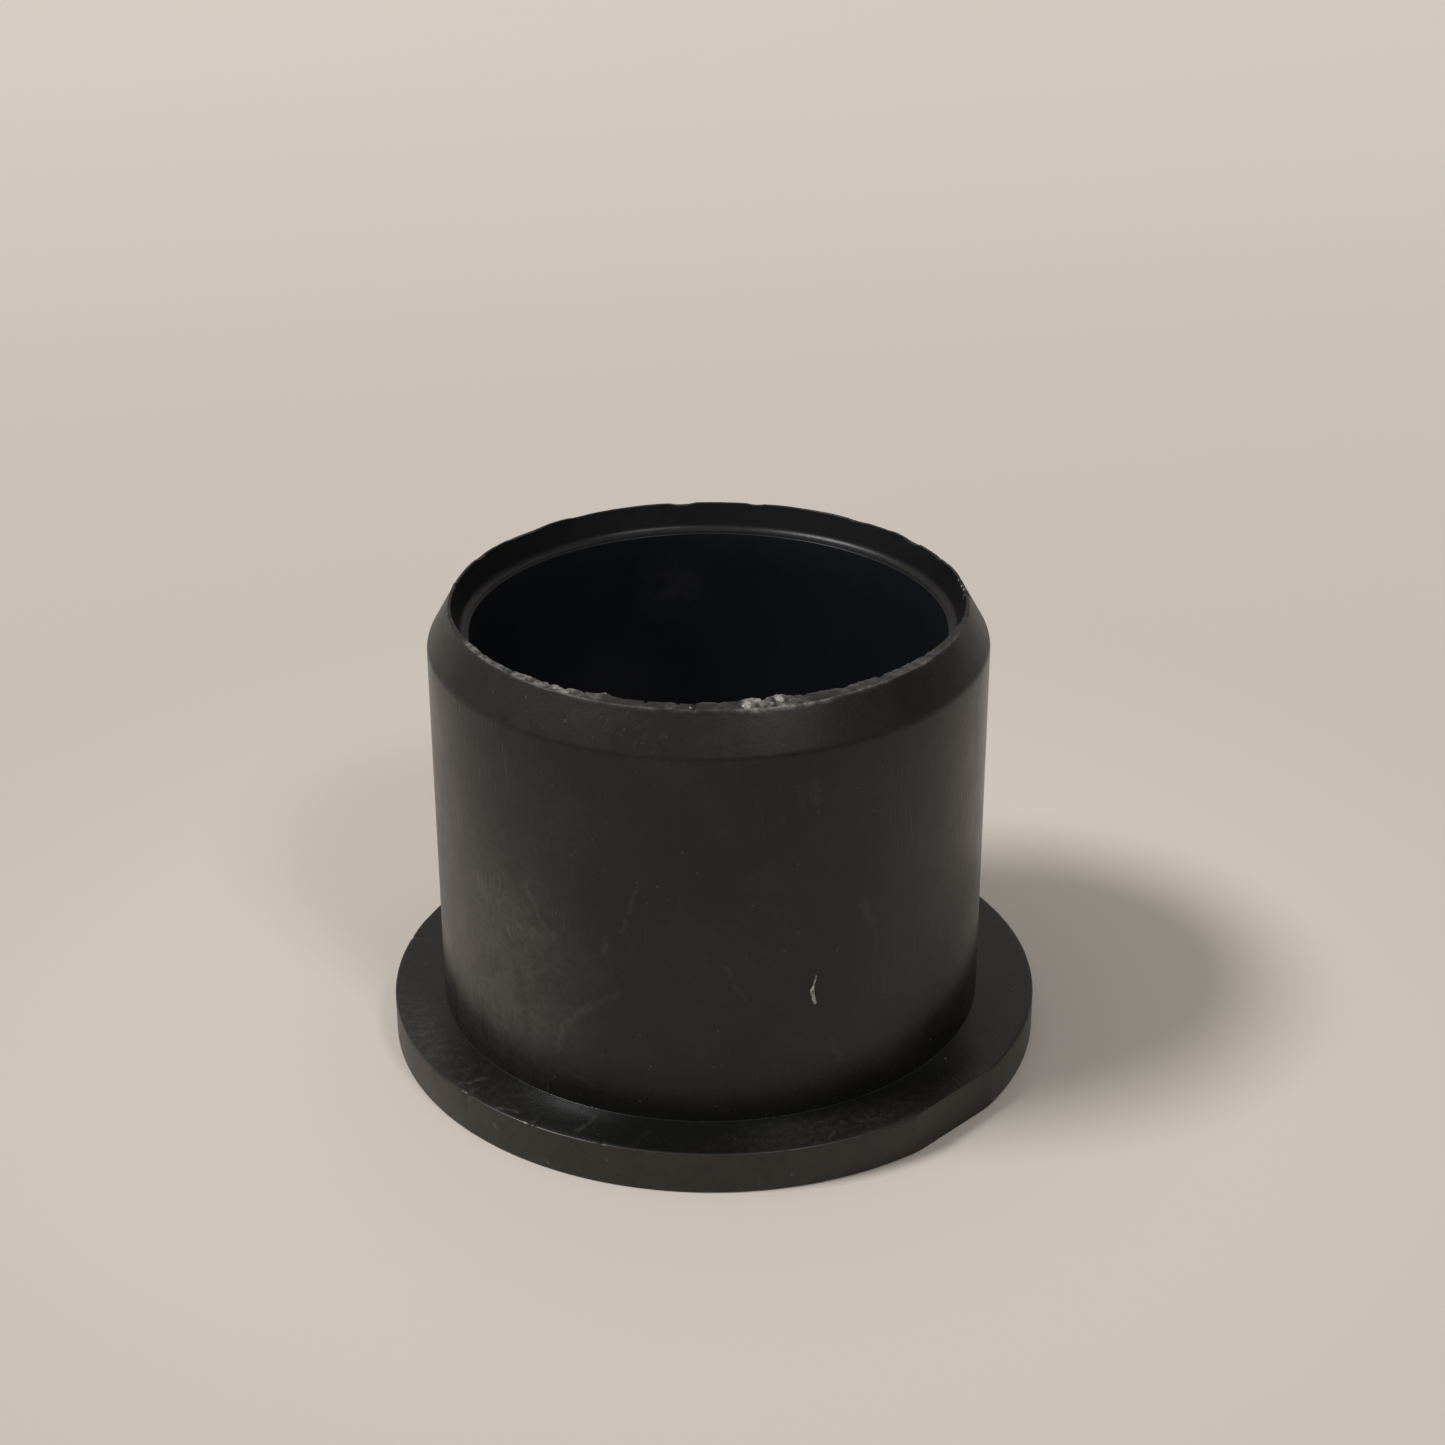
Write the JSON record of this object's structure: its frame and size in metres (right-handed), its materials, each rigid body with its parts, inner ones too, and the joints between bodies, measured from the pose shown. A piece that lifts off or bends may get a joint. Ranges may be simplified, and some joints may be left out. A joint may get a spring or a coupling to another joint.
{
  "type": "flanged sleeve bushing",
  "caption": "Thin-walled plastic sleeve bushing with a flange at its foot, a through bore and a tapered lead-in inside and outside its open end.",
  "frame": {"origin": "centre of the bore at the flange's underside", "axes": "+Z along the bore, from the flange to the open end; -Y is the side that the picture shows"},
  "size_m": [0.038, 0.038, 0.027],
  "materials": {
    "black_plastic": "satin black moulded plastic, scuffed on the sleeve and pale where the rim is chipped"
  },
  "bodies": {
    "root": {"flanged_bushing": "black_plastic"}
  },
  "joints": []
}
